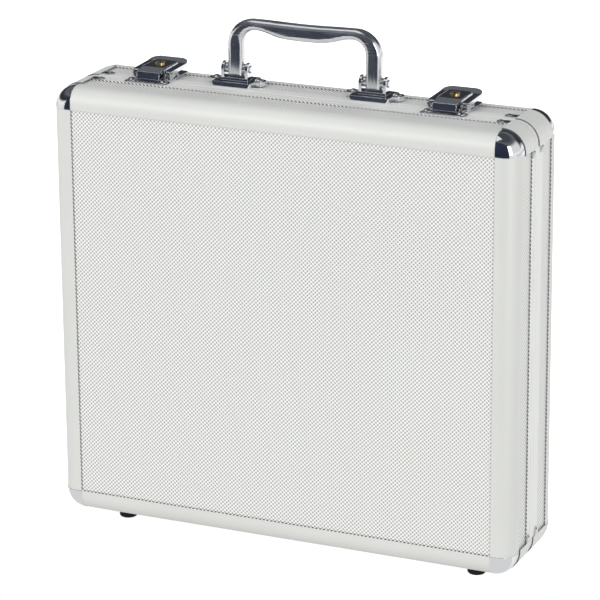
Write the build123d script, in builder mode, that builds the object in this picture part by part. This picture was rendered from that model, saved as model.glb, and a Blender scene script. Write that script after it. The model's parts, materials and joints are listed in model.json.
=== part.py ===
from build123d import *
from math import asin, cos, sin
import os

os.makedirs("parts", exist_ok=True)

# Frame: +X to the right, +Y to the back, +Z up, floor at z = 0 under the feet.
# The lid is the front half, the base the back half, and they part at y = 0.

# Case body
case_width = 400.0
case_height = 364.0
lid_depth = 48.0
base_depth = 48.0
foot_height = 9.0
split_gap = 0.3

# Aluminium edge profile that holds the panel and the side boards
edge_leg = 18.0
edge_radius = 13.0
skin = 1.0
inner_wall = 1.2
board_thickness = 4.0
fit = 0.1

# Closing frames, one round each half, with a tongue in a groove
lid_frame_width = 13.5
base_frame_width = 10.4
frame_slot_depth = 5.0
board_end_gap = 0.2
tongue_inset = 2.6
tongue_thickness = 1.0
tongue_reach = 2.3
groove_side_gap = 0.5
groove_end_gap = 0.5
outer_groove_y = 7.0
outer_groove_width = 0.6
outer_groove_depth = 0.4
seam_chamfer = 0.35

# Metal caps, covers and plastic blocks at the corners
cap_proud = 0.3
cover_thickness = 0.8
cover_gap = 0.05
cover_overlap = 1.5
lid_cover_end = 6.8
base_cover_end = 0.3
tab_width = 7.0
top_tab_rivet = 27.0
side_tab_rivet = 22.5
lid_tab_y = 10.8
base_tab_y = 7.4
block_gap = 0.1
spigot_gap = 0.2

# Rivets and screws
rivet_shank = 1.2
rivet_hole_gap = 0.05
rivet_tail = 2.0
rivet_tail_height = 0.6
corner_rivet_head = 2.6
corner_rivet_height = 1.2

# Foam
foam_gap = 0.3
foam_side_gap = 7.4
lid_pad_thickness = 14.0
tray_front = 1.0
pocket_floor = 7.4
pocket_radius = 8.0
receiver_pocket = (-55.0, 60.0, 240.0, 180.0)
transmitter_pocket = (130.0, 60.0, 70.0, 180.0)
cable_pocket = (-80.0, -100.0, 190.0, 90.0)
accessory_pocket = (95.0, -100.0, 140.0, 90.0)

# Feet, in the middle of the bottom boards, each on a boss
foot_inset = 43.5
foot_shift = 4.5
foot_radius = 7.5
foot_edge_round = 2.0
foot_boss_radius = 5.2
foot_recess_radius = 3.6
foot_recess_depth = 3.2
foot_screw_head = 3.2
foot_screw_head_height = 1.6
foot_screw_shank = 1.8
foot_screw_nut = 3.4
foot_screw_nut_height = 1.4

# Hinges under the case
hinge_inset = 90.0
hinge_length = 50.0
hinge_knuckle = 16.0
hinge_knuckle_gap = 0.2
hinge_barrel = 2.5
hinge_pin = 1.5
hinge_drop = 2.8
hinge_leaf = 1.0
hinge_leaf_near = 3.0
hinge_leaf_far = 10.0
hinge_strap = 1.0
hinge_strap_bite = 0.3
hinge_stop_gap = 0.12
hinge_stop_reach = 3.9
hinge_stop_start = -30.0
hinge_stop_sweep = 16.0
hinge_nose_angle = 222.0
hinge_nose_sweep = 16.0
hinge_rivet_pitch = 16.0
lid_hinge_rivet_y = 5.5
base_hinge_rivet_y = 7.2
hinge_rivet_head = 2.1
hinge_rivet_height = 1.0
pin_fixed_gap = 0.02
pin_running_gap = 0.05

# Carrying handle and its two brackets
handle_x = -5.0
handle_spacing = 120.0
handle_y = 19.0
pivot_height = 12.5
handle_top = 54.6
handle_top_dip = 0.8
handle_end_thickness = 9.0
handle_mid_thickness = 13.8
grip_half = 26.0
grip_rise = 2.2
handle_outer_radius = 22.0
handle_inner_radius = 11.0
leg_width = 13.4
handle_depth = 11.0
handle_round = 4.2
leg_end_radius = 6.5
hub_radius = 4.0
handle_pin = 2.0
handle_pin_head = 3.0
handle_pin_head_height = 1.1
handle_pin_head_round = 0.8
ear_inner = 9.2
ear_thickness = 2.5
ear_radius = 5.5
ear_side_gap = 0.3
bracket_width = 34.0
bracket_front = 5.0
bracket_back = 31.0
bracket_thickness = 3.6
bracket_rim = 0.4
bracket_slope = 1.5
bracket_round = 3.0
lobe_radius = 6.0
lobe_spacing = 37.4
lobe_y = 20.5
web_thickness = 1.2
web_top = 5.5
bracket_rivet_head = 3.6
bracket_rivet_height = 2.0
bracket_rivet_shank = 2.0

# Two toggle latches, each with a lock
latch_inset = 71.5
latch_shift = -4.5
latch_sheet = 1.2
strike_half = 19.0
strike_front = 12.5
strike_back = 0.5
strike_bevel = 0.4
strike_round = 3.0
strike_rivet_x = 14.0
strike_rivet_y = 6.8
strike_rivet_head = 3.75
strike_rivet_height = 2.4
strike_rivet_shank = 1.4
lip_half = 8.0
lip_y = 3.4
lip_thickness = 1.0
lip_height = 2.2
latch_base_half = 16.5
latch_base_front = 0.5
latch_base_back = 36.5
latch_base_round = 3.0
latch_ear_x = 11.4
latch_ear_radius = 2.2
latch_rivet_x = 13.0
latch_rivet_y = 21.0
latch_front_rivet_y = 7.2
latch_rivet_head = 2.3
latch_rivet_height = 1.3
keeper_half = 4.0
keeper_y = 26.4
keeper_lip_reach = 3.8
keeper_lip_bottom = 3.2
keeper_top = 4.2
latch_pin = 1.1
pivot_y = 3.5
pivot_h = 4.5
hook_pin_y = 9.5
hook_pin_h = 5.2
lever_half = 17.0
lever_opening = 11.0
lever_front = 2.0
lever_back = 38.7
lever_bar_front = 31.0
lever_corner = 8.0
lever_inner_corner = 4.0
lever_front_h = 8.3
lever_flare_y = 30.0
lever_flare_h = 9.0
lever_back_h = 11.0
lever_lug_radius = 3.0
lever_pin_margin = 2.2
lever_rim = 3.4
hook_half = 9.9
hook_back = 29.5
hook_top = 10.4
hook_crease_y = 4.6
hook_nose_y = 5.0
hook_nose_slope = 1.2
hook_nose_round = 0.6
hook_shoulder_h = 8.2
hook_nose_bottom = 2.5
hook_flange_bottom = 6.4
hook_flange_front = -1.0
hook_lug_radius = 2.2
hook_corner = 3.0
lock_y = 17.0
lock_head = 4.0
lock_head_height = 1.3
lock_head_round = 0.5
lock_plug = 3.1
lock_sleeve = 4.4
lock_sleeve_bottom = 3.4
lock_slot_width = 1.2
lock_slot_length = 4.8
lock_slot_depth = 0.8
cam_top = 2.9
cam_thickness = 1.0
cam_width = 4.0
cam_reach = 7.0
cam_hub = 3.0

# Places that follow from those sizes
half_width = case_width / 2
half_height = case_height / 2
z_bottom = foot_height
z_top = foot_height + case_height
z_mid = (z_bottom + z_top) / 2
corner_x = half_width - edge_leg
corner_z = half_height - edge_leg
slot_far = skin + board_thickness + fit
wall_far = slot_far + inner_wall
seam = split_gap / 2
hinge_z = z_bottom - hinge_drop
leg_positions = (handle_x - handle_spacing / 2, handle_x + handle_spacing / 2)
latch_reach = half_width - latch_inset
latch_positions = {"left": latch_shift - latch_reach, "right": latch_shift + latch_reach}
hinge_positions = (hinge_inset - half_width, half_width - hinge_inset)
foot_reach = half_width - foot_inset
foot_positions = (foot_shift - foot_reach, foot_shift + foot_reach)
lid_strip = lid_depth - edge_leg - lid_frame_width
base_strip = base_depth - edge_leg - base_frame_width

CORNERS = ((-1, -1), (1, -1), (-1, 1), (1, 1))
SIDES = ("top", "bottom", "left", "right")
SIGN = {"lid": -1, "base": 1}
DEPTH = {"lid": lid_depth, "base": base_depth}
FRAME_WIDTH = {"lid": lid_frame_width, "base": base_frame_width}
FOOT_Y = {"lid": -(lid_frame_width + lid_strip / 2), "base": base_frame_width + base_strip / 2}
TAB_Y = {"lid": -lid_tab_y, "base": base_tab_y}
HINGE_RIVET_Y = {"lid": -lid_hinge_rivet_y, "base": base_hinge_rivet_y}
OUTWARD = {
    "top": Vector(0, 0, 1),
    "bottom": Vector(0, 0, -1),
    "left": Vector(-1, 0, 0),
    "right": Vector(1, 0, 0),
}
REACH = {"top": half_height, "bottom": half_height, "left": half_width, "right": half_width}
SPAN = {"top": 2 * corner_x, "bottom": 2 * corner_x, "left": 2 * corner_z, "right": 2 * corner_z}


# Planes to draw on
def front_plane(y):
    """Looks at the case from the front, centred on it, at depth y"""
    return Plane(origin=(0, y, z_mid), x_dir=(1, 0, 0), z_dir=(0, -1, 0))


def side_plane(half, side):
    """Section across one edge: x inward from the side, y from the panel face to the split"""
    inward = -OUTWARD[side]
    to_split = Vector(0, -SIGN[half], 0)
    along = inward.cross(to_split)
    origin = Vector(0, SIGN[half] * DEPTH[half], z_mid) - inward * REACH[side] - along * (SPAN[side] / 2)
    return Plane(origin=origin, x_dir=inward, z_dir=along)


def outer_point(side, along, y, height):
    """Point at a height above a side's outer face"""
    if side in ("top", "bottom"):
        centre = Vector(along, y, z_mid)
    else:
        centre = Vector(0, y, z_mid + along)
    return centre + OUTWARD[side] * (REACH[side] + height)


def spot_plane(side, along, y, height=0.0):
    """Plane that lies on a side, x towards the back, z outward"""
    return Plane(origin=outer_point(side, along, y, height), x_dir=(0, 1, 0), z_dir=OUTWARD[side])


def axis_plane(side, along, y):
    """Plane through a fastener's axis: x across the axis, y outward"""
    across = Vector(0, 1, 0)
    return Plane(origin=outer_point(side, along, y, 0), x_dir=across, z_dir=across.cross(OUTWARD[side]))


def corner_plane(sx, sz, y):
    """Plane across a corner's axis: x and y outward from the axis"""
    centre = (sx * corner_x, y, z_mid + sz * corner_z)
    return Plane(origin=centre, x_dir=(sx, 0, 0), z_dir=(0, -sx * sz, 0))


def turn_plane(half, sx, sz):
    """Section at a corner: x outward from its axis, y from the panel face to the split"""
    start = Vector(0, 0, sz) if sx == sz else Vector(sx, 0, 0)
    to_split = Vector(0, -SIGN[half], 0)
    centre = (sx * corner_x, SIGN[half] * DEPTH[half], z_mid + sz * corner_z)
    return Plane(origin=centre, x_dir=start, z_dir=start.cross(to_split))


def latch_side(x):
    """Plane beside a latch: x towards the back from the split, y up from the case's top"""
    return Plane(origin=(x, 0, z_top), x_dir=(0, 1, 0), z_dir=(1, 0, 0))


def top_plane(x, height):
    """Plane over the case's top: x to the right of x, y towards the back from the split"""
    return Plane(origin=(x, 0, z_top + height), x_dir=(1, 0, 0), z_dir=(0, 0, 1))


# Fasteners: side, place along it, y
def corner_spots(half):
    spots = []
    for end in (-1, 1):
        for side in ("top", "bottom"):
            spots.append((side, end * (half_width - top_tab_rivet), TAB_Y[half]))
        for side in ("left", "right"):
            spots.append((side, end * (half_height - side_tab_rivet), TAB_Y[half]))
    return spots


def hinge_spots(half):
    spots = []
    for x in hinge_positions:
        for step in (-1, 0, 1):
            spots.append(("bottom", x + step * hinge_rivet_pitch, HINGE_RIVET_Y[half]))
    return spots


def foot_spots(half):
    return [("bottom", x, FOOT_Y[half]) for x in foot_positions]


def strike_spots():
    spots = []
    for x in latch_positions.values():
        spots.append(("top", x - strike_rivet_x, -strike_rivet_y))
        spots.append(("top", x + strike_rivet_x, -strike_rivet_y))
    return spots


def latch_base_spots(x):
    return [
        ("top", x - latch_rivet_x, latch_rivet_y),
        ("top", x + latch_rivet_x, latch_rivet_y),
        ("top", x, latch_front_rivet_y),
    ]


def bracket_spots():
    spots = []
    for x in leg_positions:
        spots.append(("top", x - lobe_spacing / 2, lobe_y))
        spots.append(("top", x + lobe_spacing / 2, lobe_y))
    return spots


def holes(half):
    """Every fastener hole in one half, with its radius"""
    spots = [(spot, rivet_shank) for spot in corner_spots(half) + hinge_spots(half)]
    spots += [(spot, foot_screw_shank) for spot in foot_spots(half)]
    if half == "lid":
        spots += [(spot, strike_rivet_shank) for spot in strike_spots()]
    else:
        for x in latch_positions.values():
            spots += [(spot, rivet_shank) for spot in latch_base_spots(x)]
        spots += [(spot, bracket_rivet_shank) for spot in bracket_spots()]
    return spots


def drill(half, sides):
    """Solid pins that cut the holes of the named sides"""
    with BuildPart() as pins:
        for (side, along, y), radius in holes(half):
            if side in sides:
                with BuildSketch(spot_plane(side, along, y, -wall_far - skin)):
                    Circle(radius + rivet_hole_gap)
                extrude(amount=wall_far + 2 * skin)
    return pins.part


def rivet(spot, seat, head, shank, grip, tail, tail_height):
    """Domed rivet with its head on a seat above the side and its tail under the grip"""
    plane = axis_plane(*spot)
    radius, height = head
    ball = (radius**2 + height**2) / (2 * height)
    half_angle = asin(min(radius / ball, 1.0)) / 2
    crown = seat + height
    dome_middle = (ball * sin(half_angle), crown - ball + ball * cos(half_angle))
    with BuildPart() as body:
        with BuildSketch(plane):
            with BuildLine():
                ThreePointArc((0, crown), dome_middle, (radius, seat))
                Polyline(
                    (radius, seat),
                    (shank, seat),
                    (shank, -grip),
                    (tail, -grip),
                    (tail, -grip - tail_height),
                    (0, -grip - tail_height),
                    (0, crown),
                )
            make_face()
        revolve(axis=Axis(plane.origin, plane.y_dir))
    return body.part


def gather(solids):
    """One node that holds several like pieces"""
    with BuildPart() as group:
        for solid in solids:
            add(solid)
    return group


def finish(piece, name):
    piece.part.label = name
    export_step(piece.part, f"parts/{name}.step")


# Case shell
def panel(half):
    outer_y = SIGN[half] * (DEPTH[half] - skin)
    inner_y = SIGN[half] * (DEPTH[half] - skin - board_thickness)
    with BuildPart() as sheet:
        with BuildSketch(front_plane(max(outer_y, inner_y))):
            RectangleRounded(
                2 * (half_width - edge_radius),
                2 * (half_height - edge_radius),
                edge_leg - edge_radius,
            )
        extrude(amount=board_thickness)
    return sheet


def edge_profile(half, side):
    slot_start = edge_radius - fit
    slot_middle = (slot_start + edge_leg) / 2
    slot_width = edge_leg - slot_start
    slot_height = slot_far - skin
    with BuildPart() as profile:
        with BuildSketch(side_plane(half, side)):
            with BuildLine():
                CenterArc((edge_radius, edge_radius), edge_radius, 180, 90)
                Polyline(
                    (0, edge_radius),
                    (0, edge_leg),
                    (wall_far, edge_leg),
                    (wall_far, wall_far),
                    (edge_leg, wall_far),
                    (edge_leg, 0),
                    (edge_radius, 0),
                )
            make_face()
            with Locations((slot_middle, skin + slot_height / 2)):
                Rectangle(slot_width, slot_height, mode=Mode.SUBTRACT)
            with Locations((skin + slot_height / 2, slot_middle)):
                Rectangle(slot_height, slot_width, mode=Mode.SUBTRACT)
        extrude(amount=SPAN[side])
    return profile


def board(half, side):
    pins = drill(half, (side,))
    far = DEPTH[half] - FRAME_WIDTH[half] + frame_slot_depth - board_end_gap
    with BuildPart() as strip:
        with BuildSketch(side_plane(half, side)):
            with Locations((skin + board_thickness / 2, (edge_radius + far) / 2)):
                Rectangle(board_thickness, far - edge_radius)
        extrude(amount=SPAN[side])
        add(pins, mode=Mode.SUBTRACT)
    return strip


def ring(y, outer, inner, width):
    """Rounded frame-shaped band between two insets, from depth y towards the front"""
    with BuildPart() as band:
        with BuildSketch(front_plane(y)):
            RectangleRounded(2 * (half_width - outer), 2 * (half_height - outer), edge_leg - outer)
            RectangleRounded(
                2 * (half_width - inner),
                2 * (half_height - inner),
                edge_leg - inner,
                mode=Mode.SUBTRACT,
            )
        extrude(amount=width)
    return band.part


def closing_frame(half):
    far = SIGN[half] * FRAME_WIDTH[half]
    slot_end = far - SIGN[half] * frame_slot_depth
    body = ring(max(SIGN[half] * seam, far), 0, wall_far, FRAME_WIDTH[half] - seam)
    slot = ring(max(far, slot_end), skin, slot_far, frame_slot_depth)
    pins = drill(half, SIDES)
    tongue_end = tongue_inset + tongue_thickness
    tongue = ring(seam, tongue_inset, tongue_end, tongue_reach + seam)
    groove = ring(
        -seam,
        tongue_inset - groove_side_gap,
        tongue_end + groove_side_gap,
        tongue_reach + groove_end_gap - seam,
    )
    line_y = outer_groove_width / 2 - outer_groove_y
    line = ring(line_y, -outer_groove_depth, outer_groove_depth, outer_groove_width)
    with BuildPart() as frame:
        add(body)
        split_face = frame.faces().sort_by(Axis.Y)[0 if half == "base" else -1]
        chamfer(split_face.outer_wire().edges(), seam_chamfer)
        add(slot, mode=Mode.SUBTRACT)
        add(pins, mode=Mode.SUBTRACT)
        if half == "base":
            add(tongue)
        else:
            add(groove, mode=Mode.SUBTRACT)
            add(line, mode=Mode.SUBTRACT)
    return frame


def ball_corners(half):
    """Pressed metal caps where three edges meet"""
    flat = edge_leg - edge_radius
    outer = edge_leg + cap_proud
    inner = edge_leg - skin
    with BuildPart() as caps:
        for sx, sz in CORNERS:
            plane = turn_plane(half, sx, sz)
            with BuildSketch(plane):
                with BuildLine():
                    CenterArc((flat, edge_radius), edge_radius + cap_proud, 270, 90)
                    Polyline(
                        (outer, edge_radius),
                        (outer, edge_leg),
                        (inner, edge_leg),
                        (inner, edge_radius),
                    )
                    CenterArc((flat, edge_radius), edge_radius - skin, 270, 90)
                    Polyline((flat, skin), (0, skin), (0, -cap_proud), (flat, -cap_proud))
                make_face()
            revolve(axis=Axis(plane.origin, (0, 1, 0)), revolution_arc=90)
    return caps


def corner_blocks(half):
    """Plastic blocks that join the boards round each corner and plug into the caps"""
    inner = edge_leg - wall_far
    spigot = edge_leg - skin - spigot_gap
    start = edge_leg + block_gap / 2
    end = DEPTH[half] - FRAME_WIDTH[half] - block_gap
    with BuildPart() as blocks:
        for sx, sz in CORNERS:
            plane = turn_plane(half, sx, sz)
            with BuildSketch(plane):
                with BuildLine():
                    Polyline(
                        (inner, edge_radius),
                        (spigot, edge_radius),
                        (spigot, start),
                        (edge_leg - block_gap / 2, start),
                        (edge_leg - block_gap / 2, end),
                        (inner, end),
                        close=True,
                    )
                make_face()
            revolve(axis=Axis(plane.origin, (0, 1, 0)), revolution_arc=90)
    return blocks


def corner_covers(half):
    """Bent metal sheets over the corner strips, riveted through their tabs"""
    inner = edge_leg + cover_gap
    outer = inner + cover_thickness
    near_panel = SIGN[half] * (DEPTH[half] - edge_leg - spigot_gap)
    near_split = SIGN[half] * (lid_cover_end if half == "lid" else base_cover_end)
    y_low = min(near_panel, near_split)
    pins = drill(half, SIDES)
    with BuildPart() as covers:
        for sx, sz in CORNERS:
            with BuildSketch(corner_plane(sx, sz, y_low)):
                with BuildLine():
                    CenterArc((0, 0), outer, 0, 90)
                    Polyline((0, outer), (-cover_overlap, outer), (-cover_overlap, inner), (0, inner))
                    CenterArc((0, 0), inner, 0, 90)
                    Polyline((inner, 0), (inner, -cover_overlap), (outer, -cover_overlap), (outer, 0))
                make_face()
            extrude(amount=abs(near_panel - near_split), dir=(0, 1, 0))
        for side, along, y in corner_spots(half):
            corner_line = SPAN[side] / 2
            tab_length = corner_line - abs(along)
            toward_corner = tab_length if along > 0 else -tab_length
            plane = spot_plane(side, along, y, cover_gap)
            direction = 1 if plane.y_dir.dot(outer_point(side, 1, 0, 0) - outer_point(side, 0, 0, 0)) > 0 else -1
            with BuildSketch(plane):
                Circle(tab_width / 2)
                with Locations((0, direction * toward_corner / 2)):
                    Rectangle(tab_width, tab_length)
            extrude(amount=cover_thickness)
        add(pins, mode=Mode.SUBTRACT)
    return covers


for half in ("lid", "base"):
    panel_name = "lid_front_panel" if half == "lid" else "base_back_panel"
    finish(panel(half), panel_name)
    for side in SIDES:
        finish(edge_profile(half, side), f"{half}_edge_{side}")
        finish(board(half, side), f"{half}_board_{side}")
    finish(closing_frame(half), f"{half}_closing_frame")
    finish(ball_corners(half), f"{half}_ball_corners")
    finish(corner_blocks(half), f"{half}_corner_blocks")
    finish(corner_covers(half), f"{half}_corner_covers")
    corner_rivets = [
        rivet(
            spot,
            cover_gap + cover_thickness,
            (corner_rivet_head, corner_rivet_height),
            rivet_shank,
            wall_far,
            rivet_tail,
            rivet_tail_height,
        )
        for spot in corner_spots(half)
    ]
    finish(gather(corner_rivets), f"{half}_corner_rivets")


# Foam
foam_width = 2 * (half_width - foam_side_gap)
foam_height = 2 * (half_height - foam_side_gap)
foam_corner = edge_leg - foam_side_gap
foam_back = wall_far + foam_gap

with BuildPart() as lid_foam_pad:
    with BuildSketch(front_plane(foam_back + lid_pad_thickness - lid_depth)):
        RectangleRounded(foam_width, foam_height, foam_corner)
    extrude(amount=lid_pad_thickness)

with BuildPart() as base_foam_tray:
    with BuildSketch(front_plane(base_depth - foam_back)):
        RectangleRounded(foam_width, foam_height, foam_corner)
    extrude(amount=base_depth - foam_back - tray_front)
    with BuildSketch(front_plane(base_depth - foam_back - pocket_floor)):
        for x, z, width, height in (receiver_pocket, transmitter_pocket, cable_pocket, accessory_pocket):
            with Locations((x, z)):
                RectangleRounded(width, height, pocket_radius)
    extrude(amount=base_depth - foam_back - pocket_floor - tray_front, mode=Mode.SUBTRACT)

finish(lid_foam_pad, "lid_foam_pad")
finish(base_foam_tray, "base_foam_tray")


# Feet and their screws
def foot(spot):
    plane = axis_plane(*spot)
    shoulder = foot_height - foot_edge_round
    with BuildPart() as body:
        with BuildSketch(plane):
            with BuildLine():
                CenterArc((foot_radius - foot_edge_round, shoulder), foot_edge_round, 0, 90)
                Polyline(
                    (foot_radius, shoulder),
                    (foot_radius, 0),
                    (foot_boss_radius, 0),
                    (foot_boss_radius, -skin),
                    (foot_screw_shank + rivet_hole_gap, -skin),
                    (foot_screw_shank + rivet_hole_gap, foot_height - foot_recess_depth),
                    (foot_recess_radius, foot_height - foot_recess_depth),
                    (foot_recess_radius, foot_height),
                    (foot_radius - foot_edge_round, foot_height),
                )
            make_face()
        revolve(axis=Axis(plane.origin, plane.y_dir))
    return body.part


for half in ("lid", "base"):
    finish(gather([foot(spot) for spot in foot_spots(half)]), f"{half}_feet")
    screws = [
        rivet(
            spot,
            foot_height - foot_recess_depth,
            (foot_screw_head, foot_screw_head_height),
            foot_screw_shank,
            skin + board_thickness,
            foot_screw_nut,
            foot_screw_nut_height,
        )
        for spot in foot_spots(half)
    ]
    finish(gather(screws), f"{half}_feet_screws")


# Hinges
def hinge_bar(x_low, x_high, inner, start, sweep):
    """Curved bar round the hinge's axis, which is the stop or its nose"""
    with BuildPart() as bar:
        with BuildSketch(Plane(origin=(x_low, 0, hinge_z), x_dir=(0, 1, 0), z_dir=(1, 0, 0))):
            with BuildLine():
                outer_arc = CenterArc((0, 0), hinge_stop_reach, start, sweep)
                inner_arc = CenterArc((0, 0), inner, start, sweep)
                Line(outer_arc @ 0, inner_arc @ 0)
                Line(outer_arc @ 1, inner_arc @ 1)
            make_face()
        extrude(amount=x_high - x_low)
    return bar.part


def knuckle(x_low, x_high, towards, hole):
    """Barrel with the strap that joins it to its leaf"""
    strap_length = hinge_leaf_near + hinge_strap_bite
    strap_middle = (towards * strap_length / 2, hinge_barrel - hinge_strap / 2)
    with BuildPart() as barrel:
        with BuildSketch(Plane(origin=(x_low, 0, hinge_z), x_dir=(0, 1, 0), z_dir=(1, 0, 0))):
            Circle(hinge_barrel)
            with Locations(strap_middle):
                Rectangle(strap_length, hinge_strap)
            Circle(hole, mode=Mode.SUBTRACT)
        extrude(amount=x_high - x_low)
    return barrel.part


def hinge_leaf_plate(half, x):
    middle_y = SIGN[half] * (hinge_leaf_near + hinge_leaf_far) / 2
    with BuildPart() as leaf:
        with BuildSketch(spot_plane("bottom", x, middle_y)):
            Rectangle(hinge_leaf_far - hinge_leaf_near, hinge_length)
        extrude(amount=hinge_leaf)
    return leaf.part


def base_hinge_leaf(x):
    end = hinge_length / 2
    near = hinge_knuckle / 2 + hinge_knuckle_gap
    bite = hinge_barrel - hinge_knuckle_gap
    pieces = [hinge_leaf_plate("base", x)]
    for low, high in ((-end, -near), (near, end)):
        pieces.append(knuckle(x + low, x + high, 1, hinge_pin + pin_fixed_gap))
        pieces.append(hinge_bar(x + low, x + high, bite, hinge_stop_start, hinge_stop_sweep))
    reach_over = hinge_barrel + hinge_stop_gap
    pieces.append(hinge_bar(x - end, x + end, reach_over, hinge_stop_start, hinge_stop_sweep))
    return pieces


def lid_hinge_leaf(x):
    end = hinge_knuckle / 2
    bite = hinge_barrel - hinge_knuckle_gap
    nose_start = hinge_nose_angle - hinge_nose_sweep / 2
    return [
        hinge_leaf_plate("lid", x),
        knuckle(x - end, x + end, -1, hinge_pin + pin_running_gap),
        hinge_bar(x - end, x + end, bite, nose_start, hinge_nose_sweep),
    ]


def hinge_pin_rod(x):
    with BuildPart() as rod:
        with BuildSketch(Plane(origin=(x - hinge_length / 2, 0, hinge_z), x_dir=(0, 1, 0), z_dir=(1, 0, 0))):
            Circle(hinge_pin)
        extrude(amount=hinge_length)
    return rod.part


for half, leaf in (("lid", lid_hinge_leaf), ("base", base_hinge_leaf)):
    pieces = []
    for x in hinge_positions:
        pieces += leaf(x)
    pins = drill(half, ("bottom",))
    with BuildPart() as hinge_leaves:
        add(pieces)
        add(pins, mode=Mode.SUBTRACT)
    finish(hinge_leaves, f"{half}_hinge_leaves")
    hinge_rivets = [
        rivet(
            spot,
            hinge_leaf,
            (hinge_rivet_head, hinge_rivet_height),
            rivet_shank,
            wall_far,
            rivet_tail,
            rivet_tail_height,
        )
        for spot in hinge_spots(half)
    ]
    finish(gather(hinge_rivets), f"{half}_hinge_rivets")

finish(gather([hinge_pin_rod(x) for x in hinge_positions]), "hinge_pins")


# Carrying handle
leg_outer = handle_spacing / 2 + leg_width / 2
leg_inner = handle_spacing / 2 - leg_width / 2
outer_turn = (leg_outer - handle_outer_radius, handle_top - handle_outer_radius)
bar_underside = handle_top - handle_end_thickness
inner_turn = (leg_inner - handle_inner_radius, bar_underside - handle_inner_radius)
grip_high = handle_top - handle_top_dip
grip_low = grip_high - handle_mid_thickness
handle_plane = Plane(origin=(handle_x, handle_y, z_top), x_dir=(1, 0, 0), z_dir=(0, -1, 0))
pivot_plane = Plane(
    origin=(handle_x - leg_outer, handle_y, z_top + pivot_height), x_dir=(0, 1, 0), z_dir=(1, 0, 0)
)

with BuildPart() as carry_handle:
    with BuildSketch(handle_plane):
        with BuildLine():
            Line((-leg_outer, 0), (-leg_outer, outer_turn[1]))
            CenterArc((-outer_turn[0], outer_turn[1]), handle_outer_radius, 90, 90)
            Spline(
                (-outer_turn[0], handle_top),
                (0, grip_high),
                (outer_turn[0], handle_top),
                tangents=((1, 0), (1, 0)),
            )
            CenterArc(outer_turn, handle_outer_radius, 0, 90)
            Polyline((leg_outer, outer_turn[1]), (leg_outer, 0), (leg_inner, 0), (leg_inner, inner_turn[1]))
            CenterArc(inner_turn, handle_inner_radius, 0, 90)
            Spline(
                (inner_turn[0], bar_underside),
                (grip_half, grip_low + grip_rise),
                (0, grip_low),
                (-grip_half, grip_low + grip_rise),
                (-inner_turn[0], bar_underside),
                tangents=((-1, 0), (-1, 0)),
            )
            CenterArc((-inner_turn[0], inner_turn[1]), handle_inner_radius, 90, 90)
            Polyline((-leg_inner, inner_turn[1]), (-leg_inner, 0), (-leg_outer, 0))
        make_face()
    extrude(amount=handle_depth / 2, both=True)
    faces = carry_handle.faces().filter_by(Axis.Y)
    long_edges = [edge for edge in faces.edges() if edge.center().Z > z_top + fit]
    fillet(long_edges, handle_round)
    with BuildSketch(pivot_plane):
        with Locations((0, -pivot_height / 2)):
            Rectangle(2 * handle_depth, pivot_height)
        Circle(leg_end_radius, mode=Mode.SUBTRACT)
    extrude(amount=2 * leg_outer, mode=Mode.SUBTRACT)
    hub_offsets = [leg_outer + x - handle_x - ear_inner + ear_side_gap for x in leg_positions]
    for offset in hub_offsets:
        with BuildSketch(pivot_plane.offset(offset)):
            Circle(hub_radius)
        extrude(amount=2 * (ear_inner - ear_side_gap))
    with BuildSketch(pivot_plane.offset(-ear_inner)):
        Circle(handle_pin + pin_running_gap)
    extrude(amount=2 * (leg_outer + ear_inner), mode=Mode.SUBTRACT)

finish(carry_handle, "carry_handle")


def bracket(x):
    ear_outer = ear_inner + ear_thickness
    ear_plane = Plane(origin=(x, handle_y, z_top), x_dir=(0, 1, 0), z_dir=(1, 0, 0))
    web_middle = (-ear_radius + web_thickness / 2, web_top / 2)
    front = bracket_front - handle_y
    with BuildPart() as plate:
        with BuildSketch(top_plane(x, 0)):
            with Locations((0, (bracket_front + bracket_back) / 2)):
                RectangleRounded(bracket_width, bracket_back - bracket_front, bracket_round)
            with Locations((-lobe_spacing / 2, lobe_y), (lobe_spacing / 2, lobe_y)):
                Circle(lobe_radius)
        extrude(amount=bracket_thickness)
        with BuildSketch(ear_plane.offset(-bracket_width / 2)):
            with BuildLine():
                Polyline(
                    (front, bracket_rim),
                    (front + bracket_slope, bracket_thickness),
                    (front, bracket_thickness),
                    close=True,
                )
            make_face()
        extrude(amount=bracket_width, mode=Mode.SUBTRACT)
        for low in (-ear_outer, ear_inner):
            with BuildSketch(ear_plane.offset(low)):
                with Locations((0, pivot_height)):
                    Circle(ear_radius)
                with Locations((0, pivot_height / 2)):
                    Rectangle(2 * ear_radius, pivot_height)
            extrude(amount=ear_thickness)
        with BuildSketch(ear_plane.offset(-ear_inner)):
            with Locations(web_middle):
                Rectangle(web_thickness, web_top)
        extrude(amount=2 * ear_inner)
        with BuildSketch(ear_plane.offset(-ear_outer)):
            with Locations((0, pivot_height)):
                Circle(handle_pin + pin_fixed_gap)
        extrude(amount=2 * ear_outer, mode=Mode.SUBTRACT)
        with BuildSketch(top_plane(x, 0)):
            with Locations((-lobe_spacing / 2, lobe_y), (lobe_spacing / 2, lobe_y)):
                Circle(bracket_rivet_shank + rivet_hole_gap)
        extrude(amount=bracket_thickness, mode=Mode.SUBTRACT)
    return plate.part


def handle_pin_rod(x):
    ear_outer = ear_inner + ear_thickness
    pin_plane = Plane(origin=(x, handle_y, z_top + pivot_height), x_dir=(0, 1, 0), z_dir=(1, 0, 0))
    with BuildPart() as rod:
        with BuildSketch(pin_plane.offset(-ear_outer)):
            Circle(handle_pin)
        extrude(amount=2 * ear_outer)
        for low in (-ear_outer - handle_pin_head_height, ear_outer):
            with BuildSketch(pin_plane.offset(low)):
                Circle(handle_pin_head)
            extrude(amount=handle_pin_head_height)
        rims = rod.edges().group_by(Axis.X)
        fillet(rims[0] + rims[-1], handle_pin_head_round)
    return rod.part


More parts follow.
